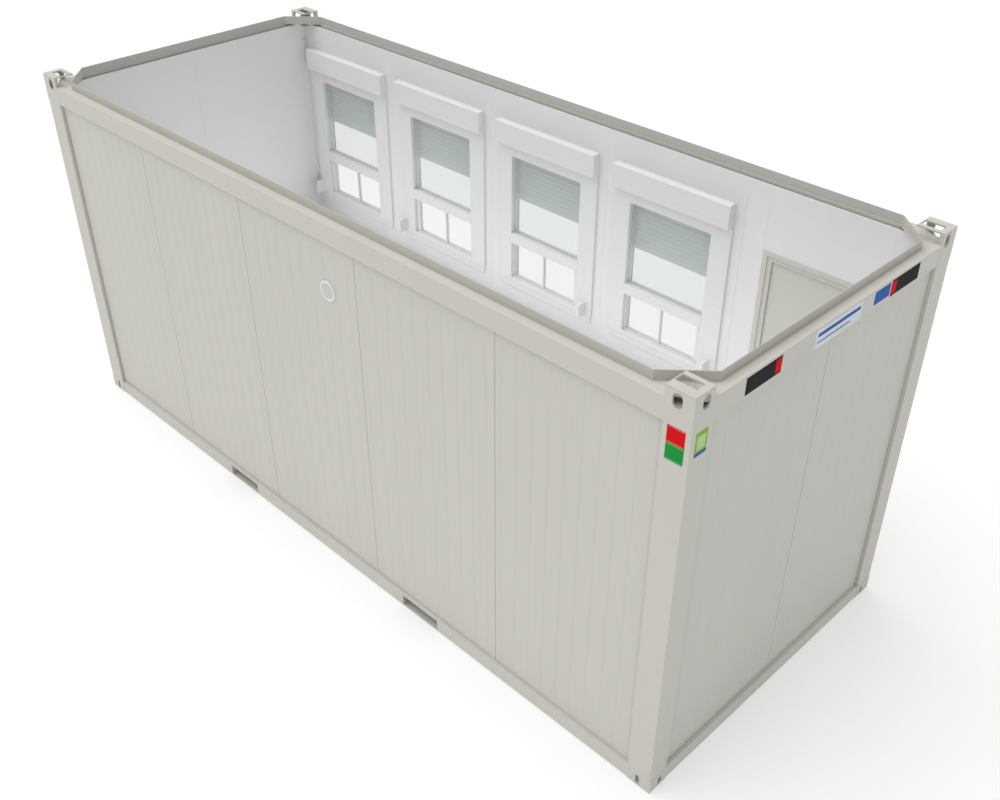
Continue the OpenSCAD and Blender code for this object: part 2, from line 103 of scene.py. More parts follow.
def surface(name, colour, spread=0.03, rough=(0.4, 0.52), grain=420.0, bump=0.05, depth=0.0004, streak=0.3,
            soil=0.0, soil_colour=(0.30, 0.27, 0.22), soil_top=0.5, scuff=0.0, metallic=0.0, specular=0.5,
            coat=0.0, alpha=1.0, broad=1.7, dent=0.0, painted_shade=0.0, reach=0.22):
    """A painted, moulded or rolled surface: slow colour drift, run-down streaks, soil near the ground,
    small scuffs, uneven gloss, the skin of the paint as fine bump, and painted shade that darkens the colour in
    occluded corners, recesses and joints."""
    m = bpy.data.materials.new(name)
    m.use_nodes = True
    nt = m.node_tree
    N, L = nt.nodes, nt.links
    b = N["Principled BSDF"]
    b.inputs["Metallic"].default_value = metallic
    b.inputs["Specular IOR Level"].default_value = specular
    if coat:
        b.inputs["Coat Weight"].default_value = coat
        b.inputs["Coat Roughness"].default_value = 0.25
    if alpha < 1:
        b.inputs["Alpha"].default_value = alpha
    tc = N.new("ShaderNodeTexCoord")
    mp = N.new("ShaderNodeMapping")
    mp.inputs["Scale"].default_value = (1.0, 1.0, streak)
    L.new(tc.outputs["Object"], mp.inputs["Vector"])
    n1 = N.new("ShaderNodeTexNoise")
    n1.inputs["Scale"].default_value = broad
    n1.inputs["Detail"].default_value = 5.0
    n1.inputs["Roughness"].default_value = 0.55
    L.new(mp.outputs["Vector"], n1.inputs["Vector"])
    ramp = N.new("ShaderNodeValToRGB")
    e = ramp.color_ramp.elements
    e[0].position, e[1].position = 0.3, 0.7
    e[0].color = tuple(c * (1 - spread) for c in colour) + (1,)
    e[1].color = tuple(min(1.0, c * (1 + spread)) for c in colour) + (1,)
    L.new(n1.outputs["Fac"], ramp.inputs["Fac"])
    out = ramp.outputs["Color"]
    if scuff:
        ms = N.new("ShaderNodeMapping")
        ms.inputs["Scale"].default_value = (3.0, 3.0, 14.0)
        ms.inputs["Rotation"].default_value = (0.3, 0.2, 0.5)
        L.new(tc.outputs["Object"], ms.inputs["Vector"])
        ns = N.new("ShaderNodeTexNoise")
        ns.inputs["Scale"].default_value = 5.0
        ns.inputs["Detail"].default_value = 8.0
        ns.inputs["Roughness"].default_value = 0.7
        L.new(ms.outputs["Vector"], ns.inputs["Vector"])
        rs = N.new("ShaderNodeMapRange")
        rs.inputs["From Min"].default_value = 0.64
        rs.inputs["From Max"].default_value = 0.74
        rs.inputs["To Max"].default_value = scuff
        L.new(ns.outputs["Fac"], rs.inputs["Value"])
        mx = N.new("ShaderNodeMix")
        mx.data_type = "RGBA"
        L.new(rs.outputs["Result"], mx.inputs["Factor"])
        L.new(out, mx.inputs["A"])
        mx.inputs["B"].default_value = tuple(c * 0.62 for c in colour) + (1,)
        out = mx.outputs["Result"]
    if soil:
        sp = N.new("ShaderNodeSeparateXYZ")
        L.new(tc.outputs["Object"], sp.inputs["Vector"])
        rz = N.new("ShaderNodeMapRange")
        rz.inputs["From Min"].default_value = soil_top
        rz.inputs["From Max"].default_value = 0.0
        rz.inputs["To Max"].default_value = soil
        L.new(sp.outputs["Z"], rz.inputs["Value"])
        nd = N.new("ShaderNodeTexNoise")
        nd.inputs["Scale"].default_value = 7.0
        nd.inputs["Detail"].default_value = 6.0
        L.new(mp.outputs["Vector"], nd.inputs["Vector"])
        mu = N.new("ShaderNodeMath")
        mu.operation = "MULTIPLY"
        L.new(rz.outputs["Result"], mu.inputs[0])
        L.new(nd.outputs["Fac"], mu.inputs[1])
        mx = N.new("ShaderNodeMix")
        mx.data_type = "RGBA"
        L.new(mu.outputs["Value"], mx.inputs["Factor"])
        L.new(out, mx.inputs["A"])
        mx.inputs["B"].default_value = tuple(soil_colour) + (1,)
        out = mx.outputs["Result"]
    # painted shade: the colour is pulled toward 0.55 of itself where the ambient-occlusion node finds the surface
    # occluded, in corners, recesses and joints
    if painted_shade:
        ao = N.new("ShaderNodeAmbientOcclusion")
        ao.samples = 4
        ao.inputs["Distance"].default_value = reach
        ra = N.new("ShaderNodeMapRange")
        ra.inputs["From Min"].default_value = 0.45
        ra.inputs["From Max"].default_value = 1.0
        ra.inputs["To Min"].default_value = painted_shade
        ra.inputs["To Max"].default_value = 0.0
        L.new(ao.outputs["AO"], ra.inputs["Value"])
        mc = N.new("ShaderNodeMix")
        mc.data_type = "RGBA"
        L.new(ra.outputs["Result"], mc.inputs["Factor"])
        L.new(out, mc.inputs["A"])
        mc.inputs["B"].default_value = tuple(c * 0.55 for c in colour) + (1,)
        out = mc.outputs["Result"]
    L.new(out, b.inputs["Base Color"])
    n2 = N.new("ShaderNodeTexNoise")
    n2.inputs["Scale"].default_value = 23.0
    n2.inputs["Detail"].default_value = 4.0
    L.new(tc.outputs["Object"], n2.inputs["Vector"])
    rr = N.new("ShaderNodeMapRange")
    rr.inputs["From Min"].default_value = 0.3
    rr.inputs["From Max"].default_value = 0.7
    rr.inputs["To Min"].default_value = rough[0]
    rr.inputs["To Max"].default_value = rough[1]
    L.new(n2.outputs["Fac"], rr.inputs["Value"])
    L.new(rr.outputs["Result"], b.inputs["Roughness"])
    if bump:
        n3 = N.new("ShaderNodeTexNoise")
        n3.inputs["Scale"].default_value = grain
        n3.inputs["Detail"].default_value = 2.0
        L.new(tc.outputs["Object"], n3.inputs["Vector"])
        bp = N.new("ShaderNodeBump")
        bp.inputs["Strength"].default_value = bump
        bp.inputs["Distance"].default_value = depth
        L.new(n3.outputs["Fac"], bp.inputs["Height"])
        last = bp.outputs["Normal"]
        if dent:
            n4 = N.new("ShaderNodeTexNoise")
            n4.inputs["Scale"].default_value = 2.6
            n4.inputs["Detail"].default_value = 1.0
            L.new(mp.outputs["Vector"], n4.inputs["Vector"])
            bq = N.new("ShaderNodeBump")
            bq.inputs["Strength"].default_value = dent
            bq.inputs["Distance"].default_value = 0.004
            L.new(n4.outputs["Fac"], bq.inputs["Height"])
            L.new(last, bq.inputs["Normal"])
            last = bq.outputs["Normal"]
        L.new(last, b.inputs["Normal"])
    return m


BEIGE = (0.622, 0.610, 0.561)
FRAME_BEIGE = (0.618, 0.604, 0.553)
M = {
    "frame": surface("frame_paint", FRAME_BEIGE, 0.018, (0.46, 0.54), 360, 0.10, 0.0005, 0.25, soil=0.06, scuff=0.06, specular=0.22, painted_shade=0.06, reach=0.12),
    # painted shade: the frame paint darkened to 0.87, a darker copy for the roof edge, its sealant bead and the corner
    # webs
    "edge": surface("frame_paint_shaded", tuple(c * 0.87 for c in FRAME_BEIGE), 0.018, (0.46, 0.54), 360, 0.10, 0.0005, 0.25, scuff=0.08, specular=0.22),
    "panel": surface("panel_paint", BEIGE, 0.012, (0.47, 0.54), 520, 0.06, 0.0003, 0.18, soil=0.06, soil_top=0.7, scuff=0.04, dent=0.08, specular=0.22, painted_shade=0.26, reach=0.18),
    "inside": surface("lining_white", (0.82, 0.82, 0.82), 0.010, (0.50, 0.56), 520, 0.05, 0.0003, 0.3, scuff=0.03, specular=0.2, painted_shade=0.10),
    "window": surface("window_white", (0.80, 0.80, 0.80), 0.008, (0.38, 0.42), 700, 0.03, 0.0002, 0.6, specular=0.25),
    "slat": surface("slat_grey", (0.82, 0.85, 0.842), 0.03, (0.40, 0.46), 600, 0.05, 0.0002, 1.0, scuff=0.05, specular=0.3),
    "floor": surface("floor_vinyl", (0.34, 0.35, 0.36), 0.06, (0.34, 0.50), 900, 0.10, 0.0002, 1.0, broad=6.0, scuff=0.18),
    "board": surface("floor_board", (0.42, 0.40, 0.37), 0.10, (0.7, 0.85), 160, 0.35, 0.0008, 1.0, broad=9.0),
    "zinc": surface("joist_zinc", (0.55, 0.56, 0.57), 0.10, (0.32, 0.5), 130, 0.10, 0.0004, 1.0, metallic=0.85, broad=22.0),
    "door": surface("door_paint", (0.635, 0.623, 0.574), 0.012, (0.44, 0.50), 480, 0.07, 0.0003, 0.3, soil=0.16, scuff=0.05, specular=0.25),
    "hinge": surface("hinge_steel", (0.50, 0.50, 0.50), 0.08, (0.28, 0.42), 300, 0.06, 0.0002, 1.0, metallic=0.9, broad=30.0),
    "black": surface("handle_black", (0.025, 0.025, 0.027), 0.15, (0.38, 0.5), 900, 0.12, 0.0002, 1.0, broad=20.0),
    "rubber": surface("seal_rubber", (0.05, 0.05, 0.052), 0.2, (0.6, 0.75), 500, 0.2, 0.0003, 1.0, broad=14.0, specular=0.2),
    # painted shade: a darker beige for the panel cores and joint seals, standing in for the shadow in the seams
    "seam_shade": surface("seam_shadow", (0.57, 0.56, 0.52), 0.1, (0.6, 0.75), 500, 0.1, 0.0003, 1.0, broad=10.0, specular=0.2),
    "weld": surface("weld_bead", (0.625, 0.610, 0.565), 0.03, (0.4, 0.5), 140, 0.5, 0.0012, 1.0, broad=40.0, specular=0.25),
    "p_black": surface("plate_black", (0.024, 0.024, 0.025), 0.12, (0.6, 0.7), 700, 0.08, 0.0002, 1.0, broad=9.0, specular=0.04),
    "p_red": surface("plate_red", (0.70, 0.008, 0.011), 0.05, (0.6, 0.7), 700, 0.06, 0.0002, 1.0, broad=9.0, specular=0.04),
    "p_blue": surface("plate_blue", (0.050, 0.130, 0.42), 0.06, (0.6, 0.7), 700, 0.06, 0.0002, 1.0, broad=9.0, specular=0.05),
    "p_green": surface("plate_green", (0.016, 0.31, 0.045), 0.06, (0.6, 0.7), 700, 0.06, 0.0002, 1.0, broad=9.0, specular=0.05),
    "p_lime": surface("plate_lime", (0.26, 0.52, 0.07), 0.06, (0.6, 0.7), 700, 0.06, 0.0002, 1.0, broad=9.0, specular=0.05),
    "p_mint": surface("plate_mint", (0.47, 0.66, 0.30), 0.10, (0.6, 0.7), 700, 0.06, 0.0002, 1.0, broad=14.0, specular=0.05),
    "p_pale": surface("plate_pale", (0.70, 0.74, 0.78), 0.04, (0.5, 0.6), 700, 0.06, 0.0002, 1.0, broad=9.0, specular=0.1),
    "glass_up": surface("glass_clear", (0.55, 0.62, 0.60), 0.02, (0.04, 0.06), 60, 0.02, 0.0002, 1.0, alpha=0.26, broad=2.0, specular=0.4),
    "glass_low": surface("glass_clear_low", (0.62, 0.68, 0.67), 0.02, (0.04, 0.06), 60, 0.02, 0.0002, 1.0, alpha=0.16, broad=2.0, specular=0.4),
    "spacer": surface("glazing_seal", (0.78, 0.79, 0.788), 0.05, (0.4, 0.5), 500, 0.05, 0.0002, 1.0),
}


# ---------------------------------------------------------------- mesh tools
def link(name, bm, mats, body="cabin", replaces=(), bevel=0.0, seg=2, angle=30, flat=False):
    bmesh.ops.recalc_face_normals(bm, faces=bm.faces)
    me = bpy.data.meshes.new(name)
    bm.to_mesh(me)
    bm.free()
    for k in mats:
        me.materials.append(M[k])
    ob = bpy.data.objects.new(name, me)
    bpy.context.scene.collection.objects.link(ob)
    return dress(ob, body, replaces, bevel, seg, angle, flat)


def dress(ob, body, replaces, bevel, seg, angle, flat):
    for p in ob.data.polygons:
        p.use_smooth = not flat
    if bevel:
        mod = ob.modifiers.new("edges", "BEVEL")
        mod.width = bevel
        mod.segments = seg
        mod.limit_method = "ANGLE"
        mod.angle_limit = math.radians(angle)
        mod.use_clamp_overlap = True
        mod.miter_outer = "MITER_ARC"
    if not flat:
        wn = ob.modifiers.new("normals", "WEIGHTED_NORMAL")
        wn.mode = "FACE_AREA"
        wn.weight = 80
        wn.keep_sharp = True
    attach(ob, body)
    if replaces:
        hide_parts(*replaces)
    return ob


def refine(node, mat, bevel, seg=2, angle=30, name=None, pick=None, keep=None):
    """The CAD node's own surfaces at their own places, with merged flats and rounded, shaded edges."""
    src = NODES[node]
    bm = bmesh.new()
    bm.from_mesh(src.data)
    bmesh.ops.remove_doubles(bm, verts=bm.verts, dist=2e-5)
    if keep:
        bad = [f for f in bm.faces if not keep(f.calc_center_median())]
        bmesh.ops.delete(bm, geom=bad, context="FACES")
    bmesh.ops.join_triangles(bm, faces=bm.faces, cmp_seam=False, cmp_sharp=False, cmp_uvs=False, cmp_vcols=False,
                             cmp_materials=False, angle_face_threshold=math.radians(0.5), angle_shape_threshold=math.pi)
    mats = [mat] if isinstance(mat, str) else list(mat)
    for f in bm.faces:
        f.material_index = pick(f) if pick else 0
    return link(name or node + "_finish", bm, mats, src["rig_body"], () if name else (node,), bevel, seg, angle)


def fillet(poly, rs, seg=4):
    """Closed 2-D loop with each corner rounded by its radius."""
    out = []
    n = len(poly)
    for i, p in enumerate(poly):
        r = rs[i] if isinstance(rs, (list, tuple)) else rs
        p = Vector(p)
        a = (Vector(poly[i - 1]) - p)
        b = (Vector(poly[(i + 1) % n]) - p)
        if r <= 0:
            out.append(tuple(p))
            continue
        a, b = a.normalized(), b.normalized()
        half = math.acos(max(-1, min(1, a.dot(b)))) / 2
        t = r / math.tan(half)
        c = p + (a + b).normalized() * (r / math.sin(half))
        s, e = p + a * t - c, p + b * t - c
        a0 = math.atan2(s.y, s.x)
        d = math.atan2(e.y, e.x) - a0
        d = (d + math.pi) % (2 * math.pi) - math.pi
        for k in range(seg + 1):
            th = a0 + d * k / seg
            out.append((c.x + r * math.cos(th), c.y + r * math.sin(th)))
    return out


def prism(bm, loop, t0, t1, place, pick=None, caps=0):
    """Closed 2-D loop carried from t0 to t1; place(t, p, q) gives the point."""
    a = [bm.verts.new(place(t0, p, q)) for p, q in loop]
    b = [bm.verts.new(place(t1, p, q)) for p, q in loop]
    n = len(loop)
    for i in range(n):
        j = (i + 1) % n
        f = bm.faces.new((a[i], a[j], b[j], b[i]))
        f.material_index = pick(loop[i], loop[j]) if pick else 0
    for ring in (a, b):
        f = bm.faces.new(ring)
        f.material_index = caps
    return bm


def cuboid(bm, lo, hi, mat=0):
    v = [bm.verts.new((x, y, z)) for z in (lo[2], hi[2]) for x, y in
         ((lo[0], lo[1]), (hi[0], lo[1]), (hi[0], hi[1]), (lo[0], hi[1]))]
    for q in ((3, 2, 1, 0), (4, 5, 6, 7), (0, 1, 5, 4), (1, 2, 6, 5), (2, 3, 7, 6), (3, 0, 4, 7)):
        bm.faces.new([v[i] for i in q]).material_index = mat


def tube(bm, path, r, seg=10, mat=0, squash=1.0, wobble=0.0):
    """Round bar along a path, with domed ends."""
    path = [Vector(p) for p in path]
    rings = []
    n = len(path)
    up = Vector((0, 0, 1))
    for i, p in enumerate(path):
        d = (path[min(i + 1, n - 1)] - path[max(i - 1, 0)]).normalized()
        side = d.cross(up if abs(d.dot(up)) < 0.95 else Vector((1, 0, 0))).normalized()
        top = side.cross(d).normalized()
        k = 1 + wobble * math.sin(i * 2.4) + wobble * 0.6 * math.sin(i * 5.1)
        rings.append([bm.verts.new(p + side * r * k * math.cos(2 * math.pi * j / seg) + top * r * k * squash * math.sin(2 * math.pi * j / seg))
                      for j in range(seg)])
    for a, b in zip(rings, rings[1:]):
        for j in range(seg):
            bm.faces.new((a[j], a[(j + 1) % seg], b[(j + 1) % seg], b[j])).material_index = mat
    for ring, p, q in ((rings[0], path[0], path[1]), (rings[-1], path[-1], path[-2])):
        tip = p + (p - q).normalized() * r * 0.35
        inner = [bm.verts.new(p + (v.co - p) * 0.6 + (tip - p) * 0.8) for v in ring]
        for j in range(seg):
            bm.faces.new((ring[j], ring[(j + 1) % seg], inner[(j + 1) % seg], inner[j])).material_index = mat
        bm.faces.new(inner).material_index = mat


def lathe(bm, profile, origin, axis, seg=40, mat=0, closed=False):
    """profile [(radius, height)] turned about axis through origin."""
    axis = Vector(axis).normalized()
    side = axis.orthogonal().normalized()
    top = axis.cross(side)
    o = Vector(origin)
    rings = []
    for r, h in profile:
        if r < 1e-6:
            rings.append([bm.verts.new(o + axis * h)])
        else:
            rings.append([bm.verts.new(o + axis * h + (side * math.cos(2 * math.pi * j / seg) + top * math.sin(2 * math.pi * j / seg)) * r)
                          for j in range(seg)])
    pairs = list(zip(rings, rings[1:]))
    if closed:
        pairs.append((rings[-1], rings[0]))
    for a, b in pairs:
        for j in range(seg):
            k = (j + 1) % seg
            if len(a) == 1 and len(b) == 1:
                continue
            if len(a) == 1:
                f = bm.faces.new((a[0], b[j], b[k]))
            elif len(b) == 1:
                f = bm.faces.new((a[j], a[k], b[0]))
            else:
                f = bm.faces.new((a[j], a[k], b[k], b[j]))
            f.material_index = mat


def button(bm, at, axis, r=0.006, h=0.0025, mat=0, seg=14):
    lathe(bm, [(0, h * 0.55), (r * 0.35, h * 0.55), (r * 0.4, h), (r * 0.75, h * 0.95), (r, h * 0.4), (r, -0.001)], at, axis, seg, mat)


def cut(ob, boxes=(), rods=()):
    """Holes through a finished mesh."""
    bm = bmesh.new()
    for lo, hi in boxes:
        cuboid(bm, lo, hi)
    for c, axis, r, h in rods:
        lathe(bm, [(0, -h), (r, -h), (r, h), (0, h)], c, axis, 64)
    bmesh.ops.recalc_face_normals(bm, faces=bm.faces)
    me = bpy.data.meshes.new("cutter")
    bm.to_mesh(me)
    bm.free()
    tool = bpy.data.objects.new("cutter", me)
    bpy.context.scene.collection.objects.link(tool)
    mod = ob.modifiers.new("cut", "BOOLEAN")
    mod.object = tool
    mod.operation = "DIFFERENCE"
    mod.solver = "EXACT"
    others = [m for m in ob.modifiers if m.name != mod.name]
    for m in others:
        m.show_viewport = False
    dg = bpy.context.evaluated_depsgraph_get()
    new = bpy.data.meshes.new_from_object(ob.evaluated_get(dg))
    ob.modifiers.remove(mod)
    for m in others:
        m.show_viewport = True
    old = ob.data
    ob.data = new
    bpy.data.meshes.remove(old)
    bpy.data.objects.remove(tool)
    bpy.data.meshes.remove(me)


# ---------------------------------------------------------------- wall panels
PITCH = 0.1165


def place_front(t, p, q):
    return (p, -q, t)


def place_back(t, p, q):
    return (p, q, t)


def place_right(t, p, q):
    return (q, p, t)


def place_left(t, p, q):
    return (-q, p, t)


def panel_loop(u0, u1, out, inn, centres, r=0.0045):
    pts = []
    for k in range(5):
        a = math.pi / 2 * k / 4
        pts.append((u0 + r - r * math.cos(a), out - r + r * math.sin(a)))
    for c in sorted(centres):
        if c - 0.016 > u0 + r and c + 0.016 < u1 - r:
            pts += [(c - 0.012, out), (c - 0.0082, out - 0.0011), (c + 0.0082, out - 0.0011), (c + 0.012, out)]
    for k in range(5):
        a = math.pi / 2 * (1 - k / 4)
        pts.append((u1 - r + r * math.cos(a), out - r + r * math.sin(a)))
    s = 0.0016
    # tongue-and-groove core between the two skins
    pts += [(u1, out - 0.012), (u1 - 0.004, out - 0.014), (u1 - 0.004, inn + 0.014), (u1, inn + 0.012)]
    pts += [(u1, inn + s), (u1 - s, inn), (u0 + s, inn), (u0, inn + s)]
    pts += [(u0, inn + 0.012), (u0 + 0.004, inn + 0.014), (u0 + 0.004, out - 0.014), (u0, out - 0.012)]
    return pts


def panel(name, u0, u1, z0, z1, place, out, inn, seam, replaces, side=1, offset=0.058, holes=(), rods=(), body="cabin"):
    centres = [seam + side * (offset + PITCH * k) for k in range(-1, 12)]
    mid = (out + inn) / 2

    # the core faces between the skins take the darker seam colour, painted shade in the joints
    def pick(a, b):
        return 0 if (a[1] + b[1]) / 2 > out - 0.010 else (1 if (a[1] + b[1]) / 2 < inn + 0.010 else 2)

    bm = bmesh.new()
    prism(bm, panel_loop(u0, u1, out, inn, centres), z0, z1, place, pick, 2)
    ob = link(name, bm, ["panel", "inside", "seam_shade"], body, replaces, flat=True)
    if holes or rods:
        cut(ob, holes, rods)
        for p in ob.data.polygons:
            p.use_smooth = False
    return ob


first = True
vlo, vhi = span("vent_sleeve")
VX, VZ = (vlo.x + vhi.x) / 2, (vlo.z + vhi.z) / 2
edges = []
for i in range(1, 6):
    lo, hi = span("front_panel_%d" % i)
    seam = hi.x + 0.0015 - 10 * PITCH if i == 1 else lo.x - 0.0015
    rods = [((VX, -(WY + IY) / 2, VZ), (0, 1, 0), 0.055, 0.2)] if i == 3 else ()
    panel("front_panel_%d_skin" % i, lo.x, hi.x, lo.z, hi.z, place_front, WY, IY, seam, ("front_panel_%d" % i,), rods=rods)
    edges.append(hi.x + 0.0015)
front_seams = edges[:-1]

for s, nm, pl in ((1, "right", place_right), (-1, "left", place_left)):
    bm_parts = []
    node = nm + "_end_panels"
    lo, hi = span(node)
    for k, (a, b, side, off) in enumerate(((-IY, -0.0015, -1, 0.082), (0.0015, IY, 1, 0.042))):
        o = panel("%s_end_panel_%d" % (nm, k + 1), a, b, lo.z, hi.z, pl, WX, IX, 0.0, (node,), side=side, offset=off)

win = []
blo, bhi = span("window_frames")
back_seams = []
for i in range(1, 5):
    node = "window_panel_%d" % i
    lo, hi = span(node)
    # the hole follows the window frame's own corners
    xs = [v.co.x for v in NODES["window_frames"].data.vertices if lo.x < v.co.x < hi.x]
    x0, x1 = min(xs), max(xs)
    win.append((x0 + x1) / 2)
    seam = hi.x + 0.0015 - 10 * PITCH if i == 1 else lo.x - 0.0015
    panel(node + "_skin", lo.x, hi.x, lo.z, hi.z, place_back, WY, IY, seam, (node,),
          holes=[((x0, IY - 0.1, blo.z), (x1, WY + 0.1, bhi.z))])
    back_seams.append(hi.x + 0.0015)
for node in ("door_side_panel", "door_corner_panel", "door_head_panel"):
    lo, hi = span(node)
    panel(node + "_skin", lo.x, hi.x, lo.z, hi.z, place_back, WY, IY, back_seams[-1], (node,))

# seals in the panel joints, set back from both skins, in the darker seam_shadow colour: painted shade in the joints
bm = bmesh.new()
for x in front_seams:
    cuboid(bm, (x - 0.0055, -WY + 0.0135, SILL_TOP + 0.001), (x + 0.0055, -IY - 0.014, HEAD_LOW - 0.001))
    cuboid(bm, (x - 0.0018, -WY + 0.0024, SILL_TOP + 0.001), (x + 0.0018, -WY + 0.0140, HEAD_LOW - 0.001))
for x in back_seams:
    cuboid(bm, (x - 0.0055, IY + 0.014, SILL_TOP + 0.001), (x + 0.0055, WY - 0.014, HEAD_LOW - 0.001))
for s in (1, -1):
    cuboid(bm, (min(s * (IX + 0.014), s * (WX - 0.014)), -0.0055, SILL_TOP + 0.001),
           (max(s * (IX + 0.014), s * (WX - 0.014)), 0.0055, HEAD_LOW - 0.001))
link("panel_joint_seals", bm, ["seam_shade"], "cabin", (), 0.0012, 1)
bm = bmesh.new()
for x in front_seams:
    cuboid(bm, (x - 0.0017, -IY - 0.0135, SILL_TOP + 0.001), (x + 0.0017, -IY - 0.0007, HEAD_LOW - 0.001))
for x in back_seams:
    cuboid(bm, (x - 0.0017, IY + 0.0007, SILL_TOP + 0.001), (x + 0.0017, IY + 0.0135, HEAD_LOW - 0.001))
for s in (1, -1):
    cuboid(bm, (min(s * (IX + 0.0003), s * (IX + 0.0135)), -0.0017, SILL_TOP + 0.001),
           (max(s * (IX + 0.0003), s * (IX + 0.0135)), 0.0017, HEAD_LOW - 0.001))
link("inner_joint_strips", bm, ["inside"], "cabin", (), 0.0003, 1)

# ---------------------------------------------------------------- frame
for n in ("post_front_right", "post_front_left", "post_back_left", "post_back_right"):
    refine(n, "frame", 0.0038, 3)
refine("top_castings", "frame", 0.0022, 2)
refine("bottom_castings", "frame", 0.0022, 2)
refine("bottom_side_rails", "frame", 0.0018, 2)
refine("bottom_end_rails", "frame", 0.0018, 2)
refine("fork_pockets", "frame", 0.0015, 2)
refine("top_side_rails", "frame", 0.0018, 2)
refine("top_end_rails", "frame", 0.0018, 2)
refine("corner_gussets", "frame", 0.0010, 2)
# the roof edge takes the darker copy of the frame paint, painted shade
refine("roof_edge", "edge", 0.0014, 2, angle=20)
refine("inner_lining", "inside", 0.0004, 2)
refine("floor_joists", "zinc", 0.0012, 2)

# weld beads where the frame members meet
clo, chi = span("top_castings")
plo, phi = span("post_front_right")
PXI, PYI = plo.x, -phi.y if phi.y < 0 else phi.y
PYI = -phi.y
CXI = max(v.co.x for v in NODES["top_side_rails"].data.vertices)
CYI = max(v.co.y for v in NODES["top_end_rails"].data.vertices)


def run(a, b, step=0.006):
    a, b = Vector(a), Vector(b)
    n = max(2, int((b - a).length / step))
    return [a.lerp(b, k / n) for k in range(n + 1)]


bm = bmesh.new()
for sx in (1, -1):
    for sy in (1, -1):
        g = 0.0016
        # under and beside each top casting
        tube(bm, run((sx * (CXI + 0.002), sy * FY, HEAD_LOW - 0.0005), (sx * (HX - 0.006), sy * FY, HEAD_LOW - 0.0005)), g, 6, 0, 1.0, 0.16)
        tube(bm, run((sx * FX, sy * (CYI + 0.002), HEAD_LOW - 0.0005), (sx * FX, sy * (HY - 0.006), HEAD_LOW - 0.0005)), g, 6, 0, 1.0, 0.16)
        tube(bm, run((sx * (CXI - 0.0003), sy * FY, HEAD_LOW + 0.004), (sx * (CXI - 0.0003), sy * FY, HEAD_TOP - 0.004)), g, 6, 0, 1.0, 0.16)
        tube(bm, run((sx * FX, sy * (CYI - 0.0003), HEAD_LOW + 0.004), (sx * FX, sy * (CYI - 0.0003), HEAD_TOP - 0.004)), g, 6, 0, 1.0, 0.16)
        # on top of each bottom casting
        tube(bm, run((sx * (PXI + 0.006), sy * (FY + 0.0003), SILL_TOP + 0.0008), (sx * (HX - 0.006), sy * (FY + 0.0003), SILL_TOP + 0.0008)), g, 6, 0, 1.0, 0.16)
        tube(bm, run((sx * (FX + 0.0003), sy * (PYI + 0.006), SILL_TOP + 0.0008), (sx * (FX + 0.0003), sy * (HY - 0.006), SILL_TOP + 0.0008)), g, 6, 0, 1.0, 0.16)
# the beads stay within the CAD box
(bx0, by0, bz0), (bx1, by1, bz1) = cad_bounds
for v in bm.verts:
    v.co.x = min(max(v.co.x, bx0), bx1)
    v.co.y = min(max(v.co.y, by0), by1)
link("frame_weld_beads", bm, ["weld"], "cabin")

# inner plates of the castings, which show through the slots
bm = bmesh.new()
for sx in (1, -1):
    for sy in (1, -1):
        def put_box(x0, x1, y0, y1, z0, z1):
            cuboid(bm, (min(sx * x0, sx * x1), min(sy * y0, sy * y1), z0), (max(sx * x0, sx * x1), max(sy * y0, sy * y1), z1))
        put_box(CXI + 0.0125, HX - 0.0122, CYI + 0.0125, HY - 0.0122, 2.6885, 2.6925)
        put_box(HX - 0.150, HX - 0.0195, HY - 0.0235, HY - 0.0195, 0.0125, SILL_TOP - 0.0125)
        put_box(HX - 0.0235, HX - 0.0195, HY - 0.140, HY - 0.0190, 0.0125, SILL_TOP - 0.0125)
link("casting_inner_plates", bm, ["frame"], "cabin", (), 0.0008, 1)

# sealing bead at the foot of the folded roof edge, and the rails' inner webs carried into the corners
bm = bmesh.new()
ring = [v.co.copy() for v in NODES["roof_edge"].data.vertices]
rz = min(v.z for v in ring)
RX, RY = max(v.x for v in ring), max(v.y for v in ring)
cy_cut = min(v.y for v in ring if v.x > RX - 1e-4 and v.y > 0)
cx_cut = min(v.x for v in ring if v.y > RY - 1e-4 and v.x > 0)
loop = [(RX, cy_cut), (cx_cut, RY), (-cx_cut, RY), (-RX, cy_cut), (-RX, -cy_cut), (-cx_cut, -RY), (cx_cut, -RY), (RX, -cy_cut)]
for i, (x, y) in enumerate(loop):
    x1, y1 = loop[(i + 1) % 8]
    tube(bm, run((x, y, rz + 0.0004), (x1, y1, rz + 0.0004), 0.02), 0.0018, 6, 0, 1.0, 0.05)
bw = bmesh.new()
for sx in (1, -1):
    for sy in (1, -1):
        for x0, x1, y0, y1 in ((cx_cut - 0.0075, RX - 0.0085, RY - 0.008, RY - 0.0045), (RX - 0.008, RX - 0.0045, cy_cut - 0.0075, RY - 0.0085)):
            cuboid(bw, (min(sx * x0, sx * x1), min(sy * y0, sy * y1), HEAD_LOW + 0.0042), (max(sx * x0, sx * x1), max(sy * y0, sy * y1), HEAD_TOP - 0.0062))
# the corner webs and the sealant bead take the darker copy of the frame paint, painted shade
link("corner_web_plates", bw, ["edge"], "cabin", (), 0.0006, 1)
link("roof_edge_sealant", bm, ["edge"], "cabin")

